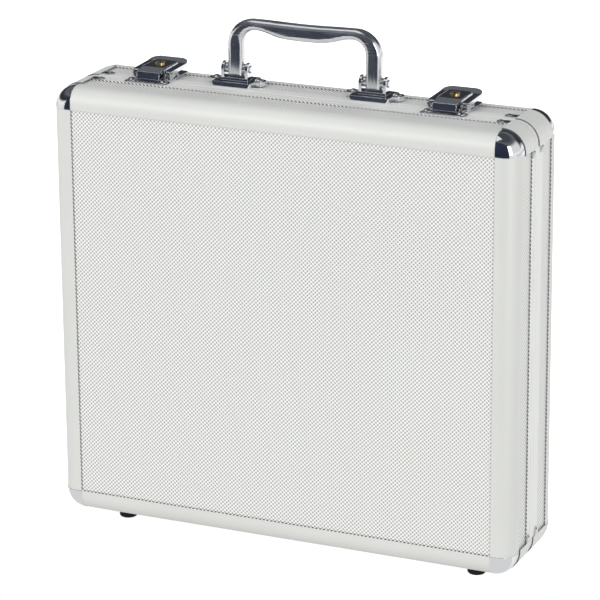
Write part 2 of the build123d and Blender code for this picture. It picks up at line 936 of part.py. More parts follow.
finish(gather([bracket(x) for x in leg_positions]), "handle_brackets")
finish(gather([handle_pin_rod(x) for x in leg_positions]), "handle_pins")
bracket_rivets = [
    rivet(
        spot,
        bracket_thickness,
        (bracket_rivet_head, bracket_rivet_height),
        bracket_rivet_shank,
        skin + board_thickness,
        bracket_rivet_head,
        rivet_tail_height,
    )
    for spot in bracket_spots()
]
finish(gather(bracket_rivets), "handle_bracket_rivets")


# Latches
def strike(x):
    """Catch plate on the lid's closing frame with a low lip for the hook"""
    with BuildPart() as plate:
        with BuildSketch(top_plane(x, 0)):
            with Locations((0, -(strike_front + strike_back) / 2)):
                RectangleRounded(2 * strike_half, strike_front - strike_back, strike_round)
        extrude(amount=latch_sheet)
        top_face = plate.faces().sort_by(Axis.Z)[-1]
        chamfer(top_face.edges().sort_by(Axis.Y)[0], strike_bevel)
        with BuildSketch(top_plane(x, 0)):
            with Locations((0, -lip_y)):
                Rectangle(2 * lip_half, lip_thickness)
        extrude(amount=lip_height)
        with BuildSketch(top_plane(x, 0)):
            with Locations((-strike_rivet_x, -strike_rivet_y), (strike_rivet_x, -strike_rivet_y)):
                Circle(strike_rivet_shank + rivet_hole_gap)
        extrude(amount=latch_sheet, mode=Mode.SUBTRACT)
    return plate.part


def latch_base(x):
    """Base plate with the lever's ears and the keeper that the lock's cam goes under"""
    length = latch_base_back - latch_base_front
    ear_low = latch_ear_x - latch_sheet / 2
    with BuildPart() as plate:
        with BuildSketch(top_plane(x, 0)):
            with Locations((0, latch_base_front + length / 2)):
                RectangleRounded(2 * latch_base_half, length, latch_base_round)
        extrude(amount=latch_sheet)
        for low in (-ear_low - latch_sheet, ear_low):
            with BuildSketch(latch_side(x + low)):
                with Locations((pivot_y, pivot_h)):
                    Circle(latch_ear_radius)
                with Locations((pivot_y, pivot_h / 2)):
                    Rectangle(2 * latch_ear_radius, pivot_h)
            extrude(amount=latch_sheet)
        with BuildSketch(latch_side(x - keeper_half)):
            with BuildLine():
                Polyline(
                    (keeper_y, 0),
                    (keeper_y, keeper_top),
                    (keeper_y - keeper_lip_reach, keeper_top),
                    (keeper_y - keeper_lip_reach, keeper_lip_bottom),
                    (keeper_y - latch_sheet, keeper_lip_bottom),
                    (keeper_y - latch_sheet, 0),
                    close=True,
                )
            make_face()
        extrude(amount=2 * keeper_half)
        with BuildSketch(latch_side(x - latch_base_half)):
            with Locations((pivot_y, pivot_h)):
                Circle(latch_pin + pin_fixed_gap)
        extrude(amount=2 * latch_base_half, mode=Mode.SUBTRACT)
        with BuildSketch(top_plane(x, 0)):
            with Locations(
                (-latch_rivet_x, latch_rivet_y), (latch_rivet_x, latch_rivet_y), (0, latch_front_rivet_y)
            ):
                Circle(rivet_shank + rivet_hole_gap)
        extrude(amount=latch_sheet, mode=Mode.SUBTRACT)
    return plate


def lever_bar(x, drop):
    """Bent bar as wide as the lever and as deep as its rim, some way under its top surface"""
    surface = [(lever_front, lever_front_h), (lever_flare_y, lever_flare_h), (lever_back, lever_back_h)]
    upper = [(y, h - drop) for y, h in surface]
    lower = [(y, h - drop - lever_rim) for y, h in reversed(surface)]
    with BuildPart() as bar:
        with BuildSketch(latch_side(x - lever_half)):
            with BuildLine():
                Polyline(*upper, *lower, close=True)
            make_face()
        extrude(amount=2 * lever_half)
    return bar.part


def lever_block(x, inset):
    """Upright block within the lever's outline, which is rounded at the back"""
    half = lever_half - inset
    back = lever_back - inset
    with BuildPart() as block:
        with BuildSketch(top_plane(x, 0)):
            with Locations((0, back / 2)):
                RectangleRounded(2 * half, back, lever_corner - inset)
            with Locations((0, lever_corner / 2)):
                Rectangle(2 * half, lever_corner)
        extrude(amount=2 * lever_back_h)
    return block.part


def lever(x):
    """U-shaped pressed lever with a rim, which turns in the base plate's ears"""
    with BuildPart() as hollow:
        add(lever_bar(x, latch_sheet))
        add(lever_block(x, latch_sheet), mode=Mode.INTERSECT)
    with BuildPart() as body:
        add(lever_bar(x, 0))
        add(lever_block(x, 0), mode=Mode.INTERSECT)
        add(hollow.part, mode=Mode.SUBTRACT)
        with BuildSketch(top_plane(x, 0)):
            with Locations((0, lever_bar_front / 2)):
                RectangleRounded(2 * lever_opening, lever_bar_front, lever_inner_corner)
            with Locations((0, lever_inner_corner / 2)):
                Rectangle(2 * lever_opening, lever_inner_corner)
        extrude(amount=2 * lever_back_h, mode=Mode.SUBTRACT)
        for low in (-lever_half, lever_half - latch_sheet):
            with BuildSketch(latch_side(x + low)):
                with BuildLine():
                    Polyline(
                        (pivot_y, pivot_h - lever_lug_radius),
                        (hook_pin_y, hook_pin_h - lever_pin_margin),
                        (lock_y, lever_flare_h - lever_rim),
                        (lock_y, lever_front_h - latch_sheet / 2),
                        (lever_front, lever_front_h - latch_sheet / 2),
                        (pivot_y - lever_lug_radius, pivot_h),
                        close=True,
                    )
                make_face()
                with Locations((pivot_y, pivot_h)):
                    Circle(lever_lug_radius)
                with Locations((hook_pin_y, hook_pin_h)):
                    Circle(lever_pin_margin)
            extrude(amount=latch_sheet)
        with BuildSketch(latch_side(x - lever_half)):
            with Locations((pivot_y, pivot_h)):
                Circle(latch_pin + pin_running_gap)
            with Locations((hook_pin_y, hook_pin_h)):
                Circle(latch_pin + pin_fixed_gap)
        extrude(amount=2 * lever_half, mode=Mode.SUBTRACT)
    return body


def hook_plate(x):
    """Cover plate that hooks over the strike's lip and carries the lock in a sleeve"""
    with BuildPart() as plate:
        with BuildSketch(latch_side(x - hook_half)):
            with BuildLine():
                Polyline(
                    (hook_back, hook_top),
                    (hook_crease_y, hook_top),
                    (-hook_nose_y, hook_shoulder_h),
                    (-hook_nose_y - hook_nose_slope, hook_nose_bottom),
                    (latch_sheet - hook_nose_y - hook_nose_slope, hook_nose_bottom),
                    (latch_sheet - hook_nose_y, hook_shoulder_h - latch_sheet),
                    (hook_crease_y, hook_top - latch_sheet),
                    (hook_back, hook_top - latch_sheet),
                    close=True,
                )
            make_face()
        extrude(amount=2 * hook_half)
        shoulder = Vector(x, -hook_nose_y, z_top + hook_shoulder_h)
        long_edges = plate.edges().filter_by(Axis.X)
        fillet(long_edges.sort_by_distance(shoulder)[0], hook_nose_round)
        for low in (-hook_half, hook_half - latch_sheet):
            with BuildSketch(latch_side(x + low)):
                with BuildLine():
                    Polyline(
                        (hook_back, hook_top - latch_sheet / 2),
                        (hook_back, hook_flange_bottom),
                        (hook_flange_front, hook_flange_bottom),
                        (hook_flange_front, hook_shoulder_h),
                        (hook_crease_y, hook_top - latch_sheet / 2),
                        close=True,
                    )
                make_face()
                with Locations((hook_pin_y, hook_pin_h)):
                    Circle(hook_lug_radius)
                with Locations((hook_pin_y, (hook_pin_h + hook_flange_bottom) / 2)):
                    Rectangle(2 * hook_lug_radius, hook_flange_bottom - hook_pin_h)
                with Locations((hook_pin_y, hook_pin_h)):
                    Circle(latch_pin + pin_running_gap, mode=Mode.SUBTRACT)
            extrude(amount=latch_sheet)
        rear_corners = plate.edges().filter_by(Axis.Z).group_by(Axis.Y)[-1]
        outer_corners = [edge for edge in rear_corners if abs(abs(edge.center().X - x) - hook_half) < fit]
        fillet(outer_corners, hook_corner)
        with BuildSketch(top_plane(x, lock_sleeve_bottom)):
            with Locations((0, lock_y)):
                Circle(lock_sleeve)
        extrude(amount=hook_top - latch_sheet - lock_sleeve_bottom)
        with BuildSketch(top_plane(x, 0)):
            with Locations((0, lock_y)):
                Circle(lock_plug + pin_running_gap)
        extrude(amount=hook_top, mode=Mode.SUBTRACT)
    return plate


def cross_pin(x, y, h):
    """Pin across a latch, flush with the lever's skirts"""
    with BuildPart() as rod:
        with BuildSketch(latch_side(x - lever_half)):
            with Locations((y, h)):
                Circle(latch_pin)
        extrude(amount=2 * lever_half)
    return rod


def lock_plug_body(x):
    with BuildPart() as plug:
        with BuildSketch(top_plane(x, cam_top)):
            with Locations((0, lock_y)):
                Circle(lock_plug)
        extrude(amount=hook_top - cam_top)
        with BuildSketch(top_plane(x, hook_top)):
            with Locations((0, lock_y)):
                Circle(lock_head)
        extrude(amount=lock_head_height)
        fillet(plug.edges().group_by(Axis.Z)[-1], lock_head_round)
        with BuildSketch(top_plane(x, hook_top + lock_head_height)):
            with Locations((0, lock_y)):
                Rectangle(lock_slot_width, lock_slot_length)
        extrude(amount=-lock_slot_depth, mode=Mode.SUBTRACT)
    return plug


def lock_cam(x):
    with BuildPart() as cam:
        with BuildSketch(top_plane(x, cam_top - cam_thickness)):
            with Locations((0, lock_y)):
                Circle(cam_hub)
            with Locations((cam_reach / 2, lock_y)):
                Rectangle(cam_reach, cam_width)
        extrude(amount=cam_thickness)
    return cam


finish(gather([strike(x) for x in latch_positions.values()]), "latch_strikes")
strike_rivets = [
    rivet(
        spot,
        latch_sheet,
        (strike_rivet_head, strike_rivet_height),
        strike_rivet_shank,
        wall_far,
        rivet_tail,
        rivet_tail_height,
    )
    for spot in strike_spots()
]
finish(gather(strike_rivets), "strike_rivets")

latch_base_rivets = []
pivot_pins = []
for hand, x in latch_positions.items():
    finish(latch_base(x), f"{hand}_latch_base")
    finish(lever(x), f"{hand}_lever")
    finish(cross_pin(x, hook_pin_y, hook_pin_h), f"{hand}_hook_pin")
    finish(hook_plate(x), f"{hand}_hook_plate")
    finish(lock_plug_body(x), f"{hand}_lock_plug")
    finish(lock_cam(x), f"{hand}_lock_cam")
    pivot_pins.append(cross_pin(x, pivot_y, pivot_h).part)
    for spot in latch_base_spots(x):
        latch_base_rivets.append(
            rivet(
                spot,
                latch_sheet,
                (latch_rivet_head, latch_rivet_height),
                rivet_shank,
                wall_far,
                rivet_tail,
                rivet_tail_height,
            )
        )

finish(gather(latch_base_rivets), "latch_base_rivets")
finish(gather(pivot_pins), "latch_pivot_pins")
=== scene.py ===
import json
from math import cos, pi, radians, sin

import bmesh
import bpy
from mathutils import Matrix, Vector


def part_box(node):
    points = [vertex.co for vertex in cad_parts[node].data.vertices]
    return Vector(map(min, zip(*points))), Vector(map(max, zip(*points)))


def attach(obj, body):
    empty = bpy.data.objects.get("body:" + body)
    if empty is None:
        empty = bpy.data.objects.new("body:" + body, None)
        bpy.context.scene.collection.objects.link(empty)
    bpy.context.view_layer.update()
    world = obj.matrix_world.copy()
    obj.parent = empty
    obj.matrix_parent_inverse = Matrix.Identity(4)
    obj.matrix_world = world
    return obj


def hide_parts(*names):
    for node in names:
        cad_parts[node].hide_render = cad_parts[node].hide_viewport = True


MM = 0.001

# Camera, matched to the photograph
CAMERA_AZIMUTH = 24.166
CAMERA_ELEVATION = 18.284
CAMERA_ROLL = -0.435
CAMERA_DISTANCE = 2.604
CAMERA_TARGET = Vector((0.01901, -0.048, 0.22028))
FOCAL_PIXELS = 3286.18
PICTURE_PIXELS = 600
SENSOR_WIDTH = 36.0
CLIP_END = 50

# Places on the case where a material changes, or where a line of painted shade lies
BODY_MIDDLE = 191.0 * MM
PANEL_SIDE = 182.0 * MM
PANEL_LOW = 27.0 * MM
PANEL_HIGH = 355.0 * MM
LID_FRAME_EDGE = -13.5 * MM
PROFILE_EDGE = 30.0 * MM
COVER_BEND_X = 180.5 * MM
COVER_BEND_Z = 162.5 * MM
COVER_EDGES = (-29.8 * MM, -6.8 * MM, 0.3 * MM, 29.8 * MM)
LEG_TOP = 406.0 * MM
LEG_BLEND = 6.0 * MM
# Locks and their keyway slot, which is not modelled: the slot is a dark line of painted shade on
# the brass
LOCK_X = (-133.0 * MM, 124.0 * MM)
KEYWAY_HALF = 0.65 * MM
KEYWAY_Z = 384.25 * MM
KEYWAY_DEPTH = 0.4 * MM

# Embossed diamonds of the panels and side boards
TEXTURE_PERIOD = 3.35 * MM
TEXTURE_DEPTH = 0.12 * MM
DIAMOND_REACH = 0.62
VALLEY_LEVEL = 0.5
DASH_SHARE = 0.3

# Painted shade: dark lines where two parts meet, standing in for the shade that falls into the
# gaps between them
CREVICE_SHADE_COLOUR = (0.14, 0.14, 0.14)
CREVICE_REACH = 0.12 * MM
COVER_EDGE_REACH = 0.3 * MM
BORDER = 0.8 * MM

# Edges that catch the light as if rounded
EDGE_RADIUS = 0.55 * MM
EDGE_SAMPLES = 6

# Colours, from the darkest to the lightest of each piece
PROFILE_TONES = ((0.73, 0.74, 0.71), (0.79, 0.80, 0.77))
FRAME_TONES = ((0.84, 0.85, 0.83), (0.89, 0.90, 0.88))
# In the three embossed laminates the darker colour is painted shade in the valleys of the
# diamonds
PANEL_TONES = ((0.24, 0.25, 0.24), (0.97, 0.97, 0.95))
TOP_STRIP_TONES = ((0.18, 0.19, 0.18), (0.98, 0.98, 0.97))
SIDE_STRIP_TONES = ((0.4, 0.41, 0.4), (0.90, 0.91, 0.89))
CHROME_TONES = ((0.76, 0.77, 0.79), (0.83, 0.84, 0.86))
COVER_TAB_TONES = ((0.6, 0.61, 0.63), (0.68, 0.69, 0.71))
COVER_BEND_TONES = ((0.75, 0.76, 0.74), (0.81, 0.82, 0.80))
NICKEL_TONES = ((0.62, 0.62, 0.62), (0.74, 0.74, 0.73))
BRASS_TONES = ((0.62, 0.40, 0.15), (0.80, 0.56, 0.25))
RUBBER_TONES = ((0.006, 0.006, 0.007), (0.016, 0.016, 0.016))
PLASTIC_TONES = ((0.02, 0.02, 0.022), (0.045, 0.045, 0.048))
FOAM_TONES = ((0.018, 0.018, 0.020), (0.075, 0.075, 0.080))

# Roughness, from the glossiest to the dullest spot of each piece
ANODISED_ROUGHNESS = (0.42, 0.54)
LAMINATE_ROUGHNESS = (0.36, 0.5)
COVER_ROUGHNESS = (0.12, 0.46)
HANDLE_ROUGHNESS = (0.12, 0.2)
BRASS_ROUGHNESS = (0.2, 0.32)

ANODISED_METALLIC = 0.25
LAMINATE_METALLIC = 0.2

# How fine each noise is, and how deep its relief
DRAW_LINE_FINENESS = 900.0
DRAW_LINE_DEPTH = 0.02 * MM
ANODISED_CLOUDS = 14.0
LAMINATE_GRAIN = 260.0
COVER_CLOUDS = 24.0
COVER_DEPTH = 0.01 * MM
BRASS_CLOUDS = 60.0
SMUDGES = 30.0
POLISH_FINENESS = 700.0
POLISH_DEPTH = 0.004 * MM
HANDLE_LINE_FINENESS = 420.0
HANDLE_LINE_DEPTH = 0.25 * MM

# Stretch of the noise that makes draw lines, small along the lines
ALONG_X = (0.02, 1, 1)
ALONG_Z = (1, 1, 0.02)
ALONG_Y = (1, 0.4, 1)
ALONG_GRIP = (0.06, 1, 1)
ALONG_LEGS = (1, 1, 0.06)

# Foam
FOAM_CORNER = 10.6 * MM
FOAM_ROUND = 2.0 * MM
EGG_PITCH = 26.0 * MM
EGG_STEPS = 8
EGG_DEPTH = 9.0 * MM
EGG_SHARPNESS = 1.3
EDGE_DROP = 2.5 * MM
EDGE_BAND = 4.0 * MM
POCKET_ROUND = 8.0 * MM
POCKET_FLOOR = 34.0 * MM
FLOOR_BEND = 0.6 * MM
# Middle of each pocket from the tray's, width and height, in millimetres
POCKETS = (
    (-55.0, 60.0, 240.0, 180.0),
    (130.0, 60.0, 70.0, 180.0),
    (-80.0, -100.0, 190.0, 90.0),
    (95.0, -100.0, 140.0, 90.0),
)

# Studio floor
FLOOR_REACH = 6
FLOOR_FRONT = -0.031
FLOOR_COLOUR = (0.9, 0.9, 0.9)
FLOOR_ROUGHNESS = 0.9
FLOOR_GLOW = 0.8
FLOOR_SHINE = 0.15

# Studio world, as light on the object and as the room that polished metal shows
AMBIENT_LEVEL = 0.62
# Brightness of the room by height over the horizon, from 0 to 1
CEILING_STOPS = (
    (0.06, 1.0),
    (0.2, 0.045),
    (0.45, 0.055),
    (0.6, 0.16),
    (0.75, 0.14),
    (0.88, 0.08),
    (1.0, 0.08),
)
SIDE_LEVEL = 0.8
SIDE_START = (0.45, 0.75)
SIDE_TOP = (0.75, 0.55)
DEPTH_LEVEL = 0.78
DEPTH_START = (0.0, -0.3)
WHITE = (1.0, 1.0, 1.0)
SHADE_TINT = (0.7, 0.82, 1.0)
TINT_REACH = 0.3

# Softboxes: location, size, brightness and whether polished metal shows them
LIGHT_TARGET = (0, 0, 0.2)
LIGHTS = {
    "key_light": ((-0.7, -2.05, 1.2), (1.4, 1.4), 3.45, True),
    "top_light": ((-0.45, -0.45, 2.0), (1.3, 0.9), 0.8, True),
    "side_light": ((1.6, -1.35, 0.9), (0.8, 1.4), 2.9, True),
    "back_light": ((0.5, 2.2, 1.0), (1.4, 1.4), 2.4, False),
}

# Dark card before the case
CARD_LOCATION = (0, -0.92, 0.62)
CARD_TARGET = (0, 0, 0.62)
CARD_SIZE = (1.8, 1.24)
CARD_COLOUR = (0.022, 0.03, 0.06)

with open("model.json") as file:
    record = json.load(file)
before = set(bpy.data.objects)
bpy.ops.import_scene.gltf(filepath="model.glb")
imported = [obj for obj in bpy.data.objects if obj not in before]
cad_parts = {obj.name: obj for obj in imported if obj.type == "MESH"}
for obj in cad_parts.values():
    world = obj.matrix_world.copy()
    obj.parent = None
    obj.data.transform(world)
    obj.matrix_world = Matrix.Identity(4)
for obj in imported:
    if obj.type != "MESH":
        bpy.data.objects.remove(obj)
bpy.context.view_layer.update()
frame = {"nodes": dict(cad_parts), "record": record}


# Shader helpers
def feed(tree, socket, value):
    """Links a socket to another one, or sets it to a number, a vector or an RGB colour"""
    if isinstance(value, bpy.types.NodeSocket):
        tree.links.new(value, socket)
    else:
        socket.default_value = (*value, 1) if socket.type == "RGBA" else value


def add_node(tree, kind, inputs, **settings):
    node = tree.nodes.new(kind)
    for key, value in settings.items():
        setattr(node, key, value)
    for key, value in inputs.items():
        feed(tree, node.inputs[key], value)
    return node


def coordinates(tree, space="Object"):
    return add_node(tree, "ShaderNodeTexCoord", {}).outputs[space]


def split_axes(tree, vector):
    return add_node(tree, "ShaderNodeSeparateXYZ", {"Vector": vector}).outputs


def noise(tree, fineness, detail=3.0, stretch=(1, 1, 1)):
    """Noise over the object, drawn out along the axes where stretch is small"""
    mapping = add_node(
        tree, "ShaderNodeMapping", {"Vector": coordinates(tree), "Scale": stretch}
    )
    inputs = {"Vector": mapping.outputs["Vector"], "Scale": fineness, "Detail": detail}
    return add_node(tree, "ShaderNodeTexNoise", inputs).outputs["Fac"]


def between(tree, value, low, high):
    """Maps 0..1 to low..high"""
    inputs = {"Value": value, "To Min": low, "To Max": high}
    return add_node(tree, "ShaderNodeMapRange", inputs).outputs["Result"]


def step_at(tree, value, start, end):
    """Rises from 0 at start to 1 at end, and keeps level beyond them"""
    inputs = {"Value": value, "From Min": start, "From Max": end}
    return add_node(tree, "ShaderNodeMapRange", inputs).outputs["Result"]


def math_node(tree, operation, *values):
    inputs = dict(enumerate(values))
    return add_node(tree, "ShaderNodeMath", inputs, operation=operation).outputs[0]


def near(tree, value, place, reach):
    """1 within reach of a place along one axis, else 0"""
    apart = math_node(tree, "ABSOLUTE", math_node(tree, "SUBTRACT", value, place))
    return math_node(tree, "LESS_THAN", apart, reach)


def mix_numbers(tree, share, first, second):
    return add_node(tree, "ShaderNodeMix", {0: share, 2: first, 3: second}).outputs[0]


def mix_colours(tree, share, first, second):
    inputs = {0: share, 6: first, 7: second}
    return add_node(tree, "ShaderNodeMix", inputs, data_type="RGBA").outputs[2]


def ramp(tree, value, stops):
    """Colours given at places from 0 to 1, and blended between them"""
    node = add_node(tree, "ShaderNodeValToRGB", {"Fac": value})
    elements = node.color_ramp.elements
    elements[0].position, elements[1].position = stops[0][0], stops[-1][0]
    for place, _ in stops[1:-1]:
        elements.new(place)
    for element, (_, colour) in zip(elements, stops):
        element.color = (*colour, 1)
    return node.outputs["Color"]


def tones(tree, value, pair, reach=1.0):
    """The first colour of a pair at 0, the second from reach on"""
    return ramp(tree, value, ((0.0, pair[0]), (reach, pair[1])))


def texture_wave(tree, value):
    """Wave with the period of the embossed texture"""
    angle = math_node(tree, "MULTIPLY", value, 2 * pi / TEXTURE_PERIOD)
    return math_node(tree, "COSINE", angle)


def dashes(tree, axes):
    """1 where the embossed texture leaves a seam open, where the seam's painted shade goes, which
    makes it look dashed
    """
    along = math_node(tree, "ADD", axes["X"], axes["Z"])
    return math_node(tree, "LESS_THAN", texture_wave(tree, along), DASH_SHARE)


def make_material(name):
    material = bpy.data.materials.new(name)
    material.use_nodes = True
    tree = material.node_tree
    return material, tree, tree.nodes["Principled BSDF"]


def set_surface(tree, shader, colour, roughness, metallic=0.0, specular=0.5):
    feed(tree, shader.inputs["Base Color"], colour)
    feed(tree, shader.inputs["Roughness"], roughness)
    feed(tree, shader.inputs["Metallic"], metallic)
    feed(tree, shader.inputs["Specular IOR Level"], specular)


def add_bump(tree, shader, height, distance, soft_edges=False):
    """Fine relief, over edges that catch the light where they are soft"""
    inputs = {"Height": height, "Distance": distance, "Strength": 1.0}
    if soft_edges:
        edge = add_node(
            tree, "ShaderNodeBevel", {"Radius": EDGE_RADIUS}, samples=EDGE_SAMPLES
        )
        inputs["Normal"] = edge.outputs["Normal"]
    bump = add_node(tree, "ShaderNodeBump", inputs)
    tree.links.new(bump.outputs["Normal"], shader.inputs["Normal"])


# Materials
def anodised(name, stretch, pair, crevices):
    """Satin anodised extrusion, with faint draw lines along it and dashes of painted shade along
    its seams with other parts
    """
    material, tree, shader = make_material(name)
    lines = noise(tree, DRAW_LINE_FINENESS, detail=2.0, stretch=stretch)
    colour = tones(tree, noise(tree, ANODISED_CLOUDS), pair)
    axes = split_axes(tree, coordinates(tree))
    # Painted shade: a dashed dark line along each seam, where shade falls into the gap between
    # the parts
    for axis, place in crevices:
        line = near(tree, axes[axis], place, CREVICE_REACH)
        dark = math_node(tree, "MULTIPLY", line, dashes(tree, axes))
        colour = mix_colours(tree, dark, colour, CREVICE_SHADE_COLOUR)
    roughness = between(tree, lines, *ANODISED_ROUGHNESS)
    set_surface(tree, shader, colour, roughness, ANODISED_METALLIC)
    add_bump(tree, shader, lines, DRAW_LINE_DEPTH)
    return material


def diamond_texture(name, directions, pair, borders):
    """Silver laminate with staggered diamonds over two axes, with painted shade in its valleys
    that is darker still at its borders
    """
    material, tree, shader = make_material(name)
    axes = split_axes(tree, coordinates(tree))
    waves = [texture_wave(tree, axes[axis]) for axis in directions]
    height = step_at(tree, math_node(tree, "MULTIPLY", *waves), -1.0, 1.0)
    # Painted shade: the valleys of the diamonds take the darker colour
    colour = tones(tree, height, pair, DIAMOND_REACH)
    valley = math_node(tree, "LESS_THAN", height, VALLEY_LEVEL)
    # Painted shade: valleys next to a border go dark, as shade under the lip of the next part
    for axis, place, reach in borders:
        dark = math_node(tree, "MULTIPLY", near(tree, axes[axis], place, reach), valley)
        colour = mix_colours(tree, dark, colour, CREVICE_SHADE_COLOUR)
    grain = noise(tree, LAMINATE_GRAIN, detail=2.0)
    roughness = between(tree, grain, *LAMINATE_ROUGHNESS)
    set_surface(tree, shader, colour, roughness, LAMINATE_METALLIC)
    add_bump(tree, shader, height, TEXTURE_DEPTH)
    return material


def corner_cover():
    """Sheet, satin round its bend and polished on its tabs, with painted shade along its edges at
    the frames
    """
    material, tree, shader = make_material("corner_cover")
    axes = split_axes(tree, coordinates(tree))
    from_middle = math_node(tree, "SUBTRACT", axes["Z"], BODY_MIDDLE)
    far_out = [
        math_node(tree, "GREATER_THAN", math_node(tree, "ABSOLUTE", place), start)
        for place, start in ((axes["X"], COVER_BEND_X), (from_middle, COVER_BEND_Z))
    ]
    bend = math_node(tree, "MULTIPLY", *far_out)
    cloud = noise(tree, COVER_CLOUDS)
    tab_colour = tones(tree, cloud, COVER_TAB_TONES)
    bend_colour = tones(tree, cloud, COVER_BEND_TONES)
    colour = mix_colours(tree, bend, tab_colour, bend_colour)
    # Painted shade: dark bands along the cover's edges, where its raised rim shades the frames
    for place in COVER_EDGES:
        edge = near(tree, axes["Y"], place, COVER_EDGE_REACH)
        colour = mix_colours(tree, edge, colour, CREVICE_SHADE_COLOUR)
    roughness = between(tree, bend, *COVER_ROUGHNESS)
    metallic = between(tree, bend, 1.0, ANODISED_METALLIC)
    set_surface(tree, shader, colour, roughness, metallic)
    add_bump(tree, shader, cloud, COVER_DEPTH, soft_edges=True)
    return material


def brass_lock():
    """Brass plugs, with their keyway slot painted on as a dark line of painted shade"""
    material, tree, shader = make_material("brass")
    axes = split_axes(tree, coordinates(tree))
    cloud = noise(tree, BRASS_CLOUDS)
    # Painted shade where the keyway slot of each lock would be
    across = math_node(
        tree, "MAXIMUM", *(near(tree, axes["X"], x, KEYWAY_HALF) for x in LOCK_X)
    )
    deep = near(tree, axes["Z"], KEYWAY_Z, KEYWAY_DEPTH)
    keyway = math_node(tree, "MULTIPLY", deep, across)
    brass = tones(tree, cloud, BRASS_TONES)
    colour = mix_colours(tree, keyway, brass, CREVICE_SHADE_COLOUR)
    roughness = between(tree, cloud, *BRASS_ROUGHNESS)
    set_surface(tree, shader, colour, roughness, metallic=1.0)
    return material


def metal(name, pair, roughness):
    """Polished metal with faint smudges in its gloss"""
    material, tree, shader = make_material(name)
    cloud = noise(tree, SMUDGES)
    colour = tones(tree, cloud, pair)
    set_surface(tree, shader, colour, between(tree, cloud, *roughness), metallic=1.0)
    relief = noise(tree, POLISH_FINENESS, detail=1.0)
    add_bump(tree, shader, relief, POLISH_DEPTH, soft_edges=True)
    return material


def drawn_chrome():
    """Chrome over a bent bar, whose faint draw lines break its reflections into streaks"""
    material, tree, shader = make_material("drawn_chrome")
    grip_lines = noise(tree, HANDLE_LINE_FINENESS, detail=2.0, stretch=ALONG_GRIP)
    leg_lines = noise(tree, HANDLE_LINE_FINENESS, detail=2.0, stretch=ALONG_LEGS)
    height = split_axes(tree, coordinates(tree))["Z"]
    over_legs = step_at(tree, height, LEG_TOP - LEG_BLEND, LEG_TOP + LEG_BLEND)
    lines = mix_numbers(tree, over_legs, leg_lines, grip_lines)
    cloud = noise(tree, SMUDGES)
    colour = tones(tree, cloud, CHROME_TONES)
    roughness = between(tree, cloud, *HANDLE_ROUGHNESS)
    set_surface(tree, shader, colour, roughness, metallic=1.0)
    add_bump(tree, shader, lines, HANDLE_LINE_DEPTH, soft_edges=True)
    return material


def matte(name, pair, roughness, grain, depth, specular=0.5):
    """Rubber, moulded plastic or foam with a fine grain"""
    material, tree, shader = make_material(name)
    speckle = noise(tree, grain, detail=4.0)
    colour = tones(tree, speckle, pair)
    dullness = between(tree, speckle, *roughness)
    set_surface(tree, shader, colour, dullness, specular=specular)
    add_bump(tree, shader, speckle, depth)
    return material


# Each list of seams gets a dashed line of painted shade
ANODISED_ALONG_X = anodised(
    "anodised_along_x",
    ALONG_X,
    PROFILE_TONES,
    (("Z", PANEL_LOW), ("Z", PANEL_HIGH), ("Y", PROFILE_EDGE)),
)
ANODISED_ALONG_Z = anodised(
    "anodised_along_z",
    ALONG_Z,
    PROFILE_TONES,
    (("X", PANEL_SIDE), ("X", -PANEL_SIDE), ("Y", PROFILE_EDGE)),
)
ANODISED_FRAME = anodised("anodised_frame", ALONG_Y, FRAME_TONES, (("Y", LID_FRAME_EDGE),))
# Borders of the panel that get painted shade in their valleys: half as wide at the right and none
# at the top, as the shade falls
PANEL_BORDERS = (
    ("X", PANEL_SIDE, 0.5 * BORDER),
    ("X", -PANEL_SIDE, BORDER),
    ("Z", PANEL_LOW, BORDER),
)
PANEL_TEXTURE = diamond_texture("panel_texture", ("X", "Z"), PANEL_TONES, PANEL_BORDERS)
# Seams of the strips with the lid frame and the profiles, which get painted shade in their
# valleys
STRIP_BORDERS = (("Y", LID_FRAME_EDGE, BORDER), ("Y", PROFILE_EDGE, BORDER))
TOP_STRIP_TEXTURE = diamond_texture(
    "top_strip_texture", ("X", "Y"), TOP_STRIP_TONES, STRIP_BORDERS
)
SIDE_STRIP_TEXTURE = diamond_texture(
    "side_strip_texture", ("Y", "Z"), SIDE_STRIP_TONES, STRIP_BORDERS
)
CHROME = metal("chrome", CHROME_TONES, roughness=(0.02, 0.07))
HANDLE_CHROME = drawn_chrome()
CORNER_COVER = corner_cover()
NICKEL = metal("nickel", NICKEL_TONES, roughness=(0.16, 0.28))
BRASS = brass_lock()
RUBBER = matte(
    "rubber", RUBBER_TONES, roughness=(0.6, 0.8), grain=600.0, depth=0.05 * MM, specular=0.2
)
PLASTIC = matte(
    "moulded_plastic", PLASTIC_TONES, roughness=(0.4, 0.55), grain=400.0, depth=0.03 * MM
)
FOAM = matte("foam", FOAM_TONES, roughness=(0.85, 1.0), grain=900.0, depth=0.3 * MM)

LOOKS = {
    "anodised_aluminium": ANODISED_FRAME,
    "textured_panel": PANEL_TEXTURE,
    "textured_strip": TOP_STRIP_TEXTURE,
    "chrome_fittings": CHROME,
    "rivet_steel": NICKEL,
    "brass_lock": BRASS,
    "black_rubber": RUBBER,
    "black_plastic": PLASTIC,
    "grey_foam": FOAM,
}


def look_of(name, slot_name):
    """The material of a CAD node, by its slot and by the way it runs"""
    if "_edge_" in name:
        return ANODISED_ALONG_X if name.endswith(("top", "bottom")) else ANODISED_ALONG_Z
    if "_board_" in name and name.endswith(("left", "right")):
        return SIDE_STRIP_TEXTURE
    if name.endswith("corner_covers"):
        return CORNER_COVER
    if name == "carry_handle":
        return HANDLE_CHROME
    return LOOKS[slot_name]


slot_names = {part["node"]: part["material_slot"] for part in frame["record"]["subparts"]}
for name, node in frame["nodes"].items():
    node.data.materials.clear()
    node.data.materials.append(look_of(name, slot_names[name]))


